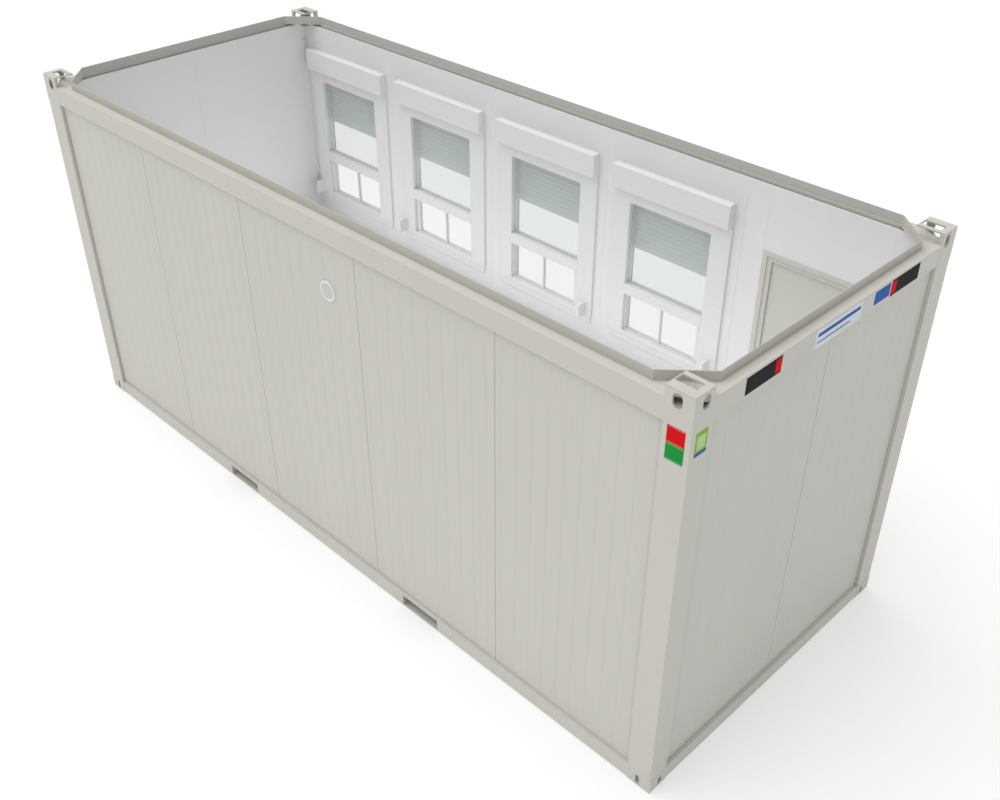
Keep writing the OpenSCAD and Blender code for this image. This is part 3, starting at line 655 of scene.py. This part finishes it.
# ---------------------------------------------------------------- floor
dlo, dhi = span("floor_deck")
bm = bmesh.new()
n = 3
w = (dhi.x - dlo.x) / n
for k in range(n):
    cuboid(bm, (dlo.x + k * w + 0.0006, dlo.y, dhi.z - 0.003), (dlo.x + (k + 1) * w - 0.0006, dhi.y, dhi.z))
for k in range(1, n):
    x = dlo.x + k * w
    tube(bm, [(x, dlo.y + 0.01, dhi.z - 0.0018), (x, 0, dhi.z - 0.0018), (x, dhi.y - 0.01, dhi.z - 0.0018)], 0.0017, 8)
link("floor_vinyl_sheet", bm, ["floor"], "cabin", ("floor_deck",), 0.0005, 1)
bm = bmesh.new()
rows, cols = 2, 5
for a in range(cols):
    for b in range(rows):
        cuboid(bm, (dlo.x + a * (dhi.x - dlo.x) / cols + 0.001, dlo.y + b * (dhi.y - dlo.y) / rows + 0.001, dlo.z),
               (dlo.x + (a + 1) * (dhi.x - dlo.x) / cols - 0.001, dlo.y + (b + 1) * (dhi.y - dlo.y) / rows - 0.001, dhi.z - 0.0032))
link("floor_boards", bm, ["board"], "cabin", ("floor_deck",), 0.0012, 1)

# ---------------------------------------------------------------- windows
slo, shi = span("shutter_slats")
glo, ghi = span("shutter_guides")
lo_c, hi_c = span("window_casings")
refine("window_casings", "window", 0.0028, 3)
# frames, transoms and sashes as mitred members, at the CAD node's own sizes
wf_lo, wf_hi = span("window_frames")
TR_LO = min(v.co.z for v in NODES["window_frames"].data.vertices if v.co.y < IY - 0.001)
TR_HI = max(v.co.z for v in NODES["window_frames"].data.vertices if v.co.y < IY - 0.001)
SA, SB = IY + 0.008, IY + 0.038


def frame_member(b, pts, y0, y1):
    """One mitred member: four corners in the wall plane."""
    prism(b, pts, y0, y1, lambda t, p, q: (p, t, q))


bm = bmesh.new()
bms = bmesh.new()
for i, x in enumerate(win):
    a0, a1, c0, c1 = x - 0.400, x + 0.400, wf_lo.z, wf_hi.z
    b0, b1, d0, d1 = x - 0.348, x + 0.348, 1.200, 2.237
    for pts in ([(a0, c0), (a1, c0), (b1, d0), (b0, d0)], [(b0, d1), (b1, d1), (a1, c1), (a0, c1)],
                [(a0, c0), (b0, d0), (b0, d1), (a0, c1)], [(b1, d0), (a1, c0), (a1, c1), (b1, d1)]):
        frame_member(bm, pts, IY + 0.0003, wf_hi.y)
    frame_member(bm, [(b0, TR_LO), (b1, TR_LO), (b1, TR_HI), (b0, TR_HI)], wf_lo.y, wf_hi.y)
    h = 1 if i < 2 else -1
    l, r = (0.041, 0.011) if h > 0 else (0.011, 0.041)
    s0, s1, z0, z1 = b0, b1, 1.200, TR_LO
    for pts in ([(s0, z0), (s1, z0), (s1 - r, z0 + 0.011), (s0 + l, z0 + 0.011)], [(s0 + l, z1 - 0.011), (s1 - r, z1 - 0.011), (s1, z1), (s0, z1)],
                [(s0, z0), (s0 + l, z0 + 0.011), (s0 + l, z1 - 0.011), (s0, z1)], [(s1 - r, z0 + 0.011), (s1, z0), (s1, z1), (s1 - r, z1 - 0.011)]):
        frame_member(bms, pts, SA, SB)
    frame_member(bms, [(x + h * 0.020 - 0.005, z0 + 0.010), (x + h * 0.020 + 0.005, z0 + 0.010), (x + h * 0.020 + 0.005, z1 - 0.010), (x + h * 0.020 - 0.005, z1 - 0.010)], SA + 0.0005, SB - 0.0005)
link("window_frame_members", bm, ["window"], "cabin", ("window_frames",), 0.0022, 2)
link("window_sash_members", bms, ["window"], "cabin", ("window_frames",), 0.0014, 2)
refine("shutter_guides", "window", 0.0012, 2)
refine("belt_winders", "window", 0.0030, 3, angle=25)

# one pane box per pane, read from the CAD panes
bm0 = bmesh.new()
bm0.from_mesh(NODES["window_panes"].data)
bmesh.ops.remove_doubles(bm0, verts=bm0.verts, dist=2e-5)
seen, panes = set(), []
for v in bm0.verts:
    if v.index in seen:
        continue
    stack, part = [v], []
    seen.add(v.index)
    while stack:
        c = stack.pop()
        part.append(c.co.copy())
        for e in c.link_edges:
            o = e.other_vert(c)
            if o.index not in seen:
                seen.add(o.index)
                stack.append(o)
    xs, ys, zs = zip(*part)
    panes.append((min(xs), max(xs), min(ys), max(ys), min(zs), max(zs)))
bm0.free()

for label, key, test in (("upper", "glass_up", lambda p: p[5] > 1.9), ("lower", "glass_low", lambda p: p[5] < 1.9)):
    bm = bmesh.new()
    for p in panes:
        if not test(p):
            continue
        x0, x1, y0, y1, z0, z1 = p
        for ya in (y0,):
            loop = fillet([(x0 + 0.0005, z0 + 0.0005), (x1 - 0.0005, z0 + 0.0005), (x1 - 0.0005, z1 - 0.0005), (x0 + 0.0005, z1 - 0.0005)], 0.001, 1)
            prism(bm, loop, ya, y1, lambda t, a, b: (a, t, b))
    link("window_glass_" + label, bm, [key], "cabin", ("window_panes",), flat=True)

bm = bmesh.new()
bmr = bmesh.new()


def ring_box(b, x0, x1, z0, z1, y0, y1, w, mat=0):
    """Rectangular ring, mitred."""
    o = [(x0, z0), (x1, z0), (x1, z1), (x0, z1)]
    i = [(x0 + w, z0 + w), (x1 - w, z0 + w), (x1 - w, z1 - w), (x0 + w, z1 - w)]
    V = [[b.verts.new((p[0], y, p[1])) for p in L] for L, y in ((o, y0), (i, y0), (i, y1), (o, y1))]
    for k in range(4):
        j = (k + 1) % 4
        for a, c in ((0, 1), (1, 2), (2, 3), (3, 0)):
            b.faces.new((V[a][k], V[a][j], V[c][j], V[c][k])).material_index = mat


for x0, x1, y0, y1, z0, z1 in panes:
    ring_box(bmr, x0 - 0.001, x1 + 0.001, z0 - 0.001, z1 + 0.001, y0 - 0.0014, y0 + 0.0002, 0.0034)
    ring_box(bmr, x0 - 0.001, x1 + 0.001, z0 - 0.001, z1 + 0.001, y1 - 0.0002, y1 + 0.0014, 0.0034)
bm.free()
link("glazing_gaskets", bmr, ["spacer"], "cabin", (), 0.0004, 1)

# shutter curtain: hooked, crowned slats and an end rail
bm = bmesh.new()
half = 0.362
for x in win:
    z = slo.z
    ya, yb = slo.y, shi.y
    rail = fillet([(z, ya + 0.0006), (z, yb - 0.0002), (z + 0.046, yb - 0.0002), (z + 0.046, ya + 0.0006)], 0.0022, 3)
    prism(bm, rail, x - half, x + half, lambda t, a, b: (t, b, a))
    z += 0.0475
    while z + 0.034 < shi.z + 0.001:
        h = 0.0322
        lp = []
        for k in range(9):
            f = k / 8
            lp.append((z + f * h, yb - 0.0022 + 0.0020 * math.sin(math.pi * f)))
        for k in range(9):
            f = 1 - k / 8
            lp.append((z + f * h, ya + 0.0046 - 0.0044 * math.sin(math.pi * f)))
        prism(bm, lp, x - half, x + half, lambda t, a, b: (t, b, a))
        # hook into the slat above
        prism(bm, [(z + h - 0.0005, yb - 0.0026), (z + h + 0.0055, yb - 0.0026), (z + h + 0.0055, ya + 0.0052), (z + h - 0.0005, ya + 0.0052)],
              x - half + 0.002, x + half - 0.002, lambda t, a, b: (t, b, a))
        z += 0.0372
link("shutter_curtain", bm, ["slat"], "cabin", ("shutter_slats",), flat=False)

# shutter boxes: shell with a lid seam, and end caps
bxlo, bxhi = span("shutter_boxes")
xs_box = sorted({round(v.co.x, 4) for v in NODES["shutter_boxes"].data.vertices})
pairs = [(xs_box[0], xs_box[1])]
for x in xs_box[2:]:
    if x > pairs[-1][1] + 0.05:
        pairs.append((x, x))
    else:
        pairs[-1] = (pairs[-1][0], x)
boxes = []
for x in win:
    near = [v for v in xs_box if abs(v - x) < 0.56]
    boxes.append((min(near), max(near)))
bm = bmesh.new()
for x0, x1 in boxes:
    y0, y1, z0, z1 = bxlo.y, bxhi.y, bxlo.z, bxhi.z
    shell = fillet([(y0 + 0.0012, z0 + 0.0012), (y1, z0 + 0.0012), (y1, z1 - 0.0012), (y0 + 0.0012, z1 - 0.0012)], [0.006, 0, 0, 0.007], 5)
    prism(bm, shell, x0 + 0.010, x1 - 0.010, lambda t, a, b: (t, a, b))
    cap = fillet([(y0, z0), (y1, z0), (y1, z1), (y0, z1)], [0.007, 0, 0, 0.008], 5)
    for a, b in ((x0, x0 + 0.011), (x1 - 0.011, x1)):
        prism(bm, cap, a, b, lambda t, p, q: (t, p, q))
    # lid joint along the front
    prism(bm, fillet([(y0 + 0.0004, z0 + 0.046), (y0 + 0.003, z0 + 0.046), (y0 + 0.003, z0 + 0.049), (y0 + 0.0004, z0 + 0.049)], 0.0006, 2),
          x0 + 0.011, x1 - 0.011, lambda t, p, q: (t, p, q))
    for xe, sgn in ((x0, -1), (x1, 1)):
        for zz in (z0 + 0.03, z1 - 0.03):
            button(bm, (xe - sgn * 0.0019, y0 + 0.034, zz), (sgn, 0, 0), 0.005, 0.0018)
link("shutter_box_shells", bm, ["window"], "cabin", ("shutter_boxes",), 0.0009, 2, 35)

# screws in the casings
bm = bmesh.new()
for x in win:
    cx = x + 0.005
    for sx in (-1, 1):
        for zz in (lo_c.z + 0.14, (lo_c.z + hi_c.z) / 2, hi_c.z - 0.08):
            button(bm, (cx + sx * 0.47, lo_c.y + 0.0002, zz), (0, -1, 0), 0.0065, 0.0016)
link("casing_screw_caps", bm, ["window"], "cabin")

# ---------------------------------------------------------------- door
refine("door_frame", "door", 0.0018, 2)
llo, lhi = span("door_leaf")
bm = bmesh.new()
r = 0.004
# folded steel leaf: pan and lapped edge, with the spindle hole
outer = fillet([(llo.x, llo.z), (lhi.x, llo.z), (lhi.x, lhi.z), (llo.x, lhi.z)], 0.002, 2)
prism(bm, outer, llo.y, lhi.y, lambda t, a, b: (a, t, b))
leaf = link("door_leaf_pan", bm, ["door"], "door", ("door_leaf",), 0.0020, 3, 40)
hlo, hhi = span("door_handle")
HXC, HZC = llo.x + 0.075, 1.215
cut(leaf, (), [((HXC, (llo.y + lhi.y) / 2, HZC), (0, 1, 0), 0.0062, 0.1)])
for p in leaf.data.polygons:
    p.use_smooth = True
bm = bmesh.new()
for y0, y1 in ((llo.y - 0.0012, llo.y + 0.0004), (lhi.y - 0.0004, lhi.y + 0.0008)):
    ring_box(bm, llo.x + 0.010, lhi.x - 0.010, llo.z + 0.010, lhi.z - 0.010, y0, y1, 0.016)
link("door_leaf_lap", bm, ["door"], "door", (), 0.0005, 1)

flo, fhi = span("door_frame")
bm = bmesh.new()
ring_box(bm, flo.x + 0.0375, fhi.x - 0.0375, 0.1875, fhi.z - 0.0375, IY + 0.0152, IY + 0.0180, 0.011)
link("door_frame_gasket", bm, ["rubber"], "cabin", (), 0.0008, 2)

refine("door_hinges", "hinge", 0.0008, 2)
refine("door_straps", "hinge", 0.0008, 2)
bm = bmesh.new()
for z in (0.415, 1.2, 1.985):
    for dx in (0.012, 0.030):
        for dz in (0.011, 0.031):
            button(bm, (lhi.x - dx - 0.006, lhi.y + 0.006, z + dz), (0, 1, 0), 0.0042, 0.0016, 0, 12)
link("strap_screws", bm, ["hinge"], "door")

# lever handles on long plates
bm = bmesh.new()
for out, yp in ((1, lhi.y), (-1, llo.y)):
    plate = fillet([(HXC - 0.020, 1.100), (HXC + 0.020, 1.100), (HXC + 0.020, 1.290), (HXC - 0.020, 1.290)], 0.0185, 8)
    a, b = (yp, yp + 0.006) if out > 0 else (yp - 0.006, yp)
    prism(bm, plate, a, b, lambda t, p, q: (p, t, q))
    face = b if out > 0 else a
    lathe(bm, [(0.0165, 0), (0.0165, 0.003), (0.0125, 0.006), (0.0105, 0.008), (0.0105, 0.012)], (HXC, face - out * 0.0002, HZC), (0, out, 0), 32)
    reach = (0.029 if out > 0 else 0.043) - 0.006
    yl = face + out * (reach - 0.004)
    path = [(HXC, face + out * 0.004, HZC), (HXC, face + out * reach * 0.45, HZC)]
    for k in range(1, 6):
        a0 = math.pi / 2 * k / 5
        path.append((HXC + 0.012 * (1 - math.cos(a0)), face + out * (reach * 0.45 + (reach * 0.55 - 0.004) * math.sin(a0)), HZC))
    path += [(HXC + 0.03, yl, HZC), (HXC + 0.06, yl, HZC), (HXC + 0.09, yl, HZC), (HXC + 0.108, yl, HZC)]
    for k in range(1, 5):
        a0 = math.pi / 2 * k / 4
        path.append((HXC + 0.108 + 0.006 * math.sin(a0), yl - out * 0.010 * (1 - math.cos(a0)), HZC))
    tube(bm, path, 0.0088, 16)
    # lock cylinder under the lever and two fixing screws
    lathe(bm, [(0, 0.0035), (0.0065, 0.0035), (0.0085, 0.0028), (0.0088, -0.001)], (HXC, face, 1.145), (0, out, 0), 24)
    for zz in (1.113, 1.277):
        button(bm, (HXC, face, zz), (0, out, 0), 0.0048, 0.0018, 0, 14)
link("door_lever_set", bm, ["black"], "door", ("door_handle",), 0.0008, 2, 50)

# ---------------------------------------------------------------- vent
refine("vent_sleeve", "window", 0.0012, 2, angle=40)
bm = bmesh.new()
o = (VX, vlo.y, VZ)
lathe(bm, [(0, 0.0006), (0.030, 0.0008), (0.046, 0.0012), (0.0505, 0.0010), (0.0520, -0.0004)], o, (0, -1, 0), 56, 0)
lathe(bm, [(0.0550, -0.0004), (0.0562, 0.0022), (0.0590, 0.0034), (0.0630, 0.0034), (0.0668, 0.0018), (0.0690, -0.0012), (0.0690, -0.004)], o, (0, -1, 0), 56, 1)
link("vent_cover_ring", bm, ["panel", "window"], "cabin")
bm = bmesh.new()
for k in range(4):
    a = math.pi / 4 + k * math.pi / 2
    button(bm, (VX + 0.0625 * math.cos(a), vhi.y - 0.0001, VZ + 0.0625 * math.sin(a)), (0, 1, 0), 0.0036, 0.0014, 0, 12)
# insect screen behind the cover
for k in range(-6, 7):
    h = math.sqrt(max(0.0, 0.050 ** 2 - (k * 0.0075) ** 2))
    tube(bm, [(VX + k * 0.0075, -WY + 0.012, VZ - h), (VX + k * 0.0075, -WY + 0.012, VZ), (VX + k * 0.0075, -WY + 0.012, VZ + h)], 0.0007, 5)
    tube(bm, [(VX - h, -WY + 0.0132, VZ + k * 0.0075), (VX, -WY + 0.0132, VZ + k * 0.0075), (VX + h, -WY + 0.0132, VZ + k * 0.0075)], 0.0007, 5)
link("vent_screws_and_screen", bm, ["spacer"], "cabin")


# ---------------------------------------------------------------- plain plates on the signed end and the near post
KEYS = ["p_black", "p_red", "p_blue", "p_green", "p_lime", "p_pale", "p_mint"]
bm = bmesh.new()


def on_end(t, p, q):
    return (FX + t, p, q)


def on_post(t, p, q):
    return (p, -FY - t, q)


def put(place, u0, u1, v0, v1, key, level=0, r=0.003):
    """One plate layer; higher levels sit on the one beneath."""
    m = KEYS.index(key)
    t0, t1 = (-0.0002, 0.0007) if level == 0 else (0.0006, 0.00095) if level == 1 else (0.0009, 0.0012)
    loop = fillet([(u0, v0), (u1, v0), (u1, v1), (u0, v1)], r, 3)
    prism(bm, loop, t0, t1, place, lambda a, b: m, m)


for a, b, ra, rb in ((-0.811, -0.562, -0.562, -0.510), (0.583, 0.832, 0.530, 0.583)):
    put(on_end, min(a, ra), max(b, rb), 2.614, 2.714, "p_black", 0, 0.0015)
    put(on_end, ra + (0.0005 if ra > 0 else -0.001), rb - (0.0 if ra > 0 else 0.0015), 2.625, 2.703, "p_red", 1, 0.001)
put(on_end, 0.357, 0.517, 2.628, 2.709, "p_blue")
put(on_end, 0.362, 0.512, 2.633, 2.704, "p_blue", 1, 0.002)
put(on_end, -0.211, 0.235, 2.602, 2.715, "p_pale")
# two plain bars where the sign has its print
put(on_end, -0.190, 0.215, 2.668, 2.690, "p_blue", 1, 0.002)
put(on_end, -0.190, 0.120, 2.632, 2.640, "p_blue", 1, 0.001)
put(on_end, -1.179, -1.087, 2.442, 2.582, "p_lime")
put(on_end, -1.179, -1.087, 2.4425, 2.463, "p_blue", 1, 0.002)
put(on_end, -1.166, -1.100, 2.476, 2.556, "p_mint", 1, 0.003)
put(on_post, 2.887, 2.994, 2.4945, 2.592, "p_red")
put(on_post, 2.887, 2.994, 2.396, 2.4940, "p_green")
for z0, z1 in ((2.500, 2.587), (2.401, 2.489)):
    put(on_post, 2.893, 2.988, z1 - 0.0012, z1, "p_pale", 1, 0.0004)
    put(on_post, 2.893, 2.988, z0, z0 + 0.0012, "p_pale", 1, 0.0004)
link("plain_plates", bm, KEYS, "cabin", ("marking_plates",), flat=True)

bm = bmesh.new()
for a, b, z0, z1 in ((-0.811, -0.562, 2.614, 2.714), (0.583, 0.832, 2.614, 2.714)):
    for y in (a + 0.012, b - 0.012):
        for z in (z0 + 0.012, z1 - 0.012):
            button(bm, (FX + 0.0003, y, z), (1, 0, 0), 0.0034, 0.0011, 0, 12)
link("plate_rivets", bm, ["p_black"], "cabin")

# ---------------------------------------------------------------- stage, light and camera
scene = bpy.context.scene
me = bpy.data.meshes.new("studio_floor")
R = 60.0
me.from_pydata([(-R, -R, -0.0005), (R, -R, -0.0005), (R, R, -0.0005), (-R, R, -0.0005)], [], [(0, 1, 2, 3)])
floor = bpy.data.objects.new("studio_floor", me)
scene.collection.objects.link(floor)
fm = surface("studio_floor_paint", (0.70, 0.70, 0.70), 0.004, (0.9, 0.95), 40, 0.0, 0.0, 1.0, specular=0.0)
fm.node_tree.nodes["Principled BSDF"].inputs["Emission Color"].default_value = (1, 1, 1, 1)
fm.node_tree.nodes["Principled BSDF"].inputs["Emission Strength"].default_value = 0.33
me.materials.append(fm)

world = bpy.data.worlds.new("studio")
scene.world = world
world.use_nodes = True
wn = world.node_tree
bg = wn.nodes["Background"]
bg.inputs["Color"].default_value = (1, 1, 1, 1)
bg.inputs["Strength"].default_value = 0.44
bg2 = wn.nodes.new("ShaderNodeBackground")
bg2.inputs["Color"].default_value = (1, 1, 1, 1)
bg2.inputs["Strength"].default_value = 1.0
lp = wn.nodes.new("ShaderNodeLightPath")
mixw = wn.nodes.new("ShaderNodeMixShader")
wn.links.new(lp.outputs["Is Camera Ray"], mixw.inputs["Fac"])
wn.links.new(bg.outputs["Background"], mixw.inputs[1])
wn.links.new(bg2.outputs["Background"], mixw.inputs[2])
wn.links.new(mixw.outputs["Shader"], wn.nodes["World Output"].inputs["Surface"])

sun = bpy.data.lights.new("softbox_sun", "SUN")
sun.energy = 2.0
sun.angle = math.radians(70)
so = bpy.data.objects.new("softbox_sun", sun)
so.location = (-3, -4, 9)
so.rotation_euler = Vector((-0.17, -0.125, 0.60)).to_track_quat("Z", "Y").to_euler()
scene.collection.objects.link(so)

fill = bpy.data.lights.new("softbox_fill", "AREA")
fill.shape = "RECTANGLE"
fill.size, fill.size_y = 5.4, 1.8
fill.energy = 33.0
fo = bpy.data.objects.new("softbox_fill", fill)
fo.location = (0, 0, 0.9)
fo.rotation_euler = (math.pi, 0, 0)
fo.visible_camera = False
fo.visible_glossy = False
fo.visible_transmission = False
scene.collection.objects.link(fo)

cam = bpy.data.cameras.new("camera")
co = bpy.data.objects.new("camera", cam)
scene.collection.objects.link(co)
scene.camera = co
rv = Vector((2.05137358, 0.848371206, -0.437606493))
Rm = Matrix.Rotation(rv.length, 3, rv.normalized())
Rc = Rm.transposed() @ Matrix.Diagonal((1, -1, -1))
co.matrix_world = Matrix.Translation((5.36170, -4.78206, 5.67750)) @ Rc.to_4x4()
cam.sensor_fit = "HORIZONTAL"
cam.sensor_width = 36.0
cam.lens = 41.2644
cam.shift_x = -0.00239
cam.shift_y = 0.010857
cam.clip_start = 0.05
cam.clip_end = 300.0
scene.view_settings.view_transform = "Standard"
scene.view_settings.look = "None"
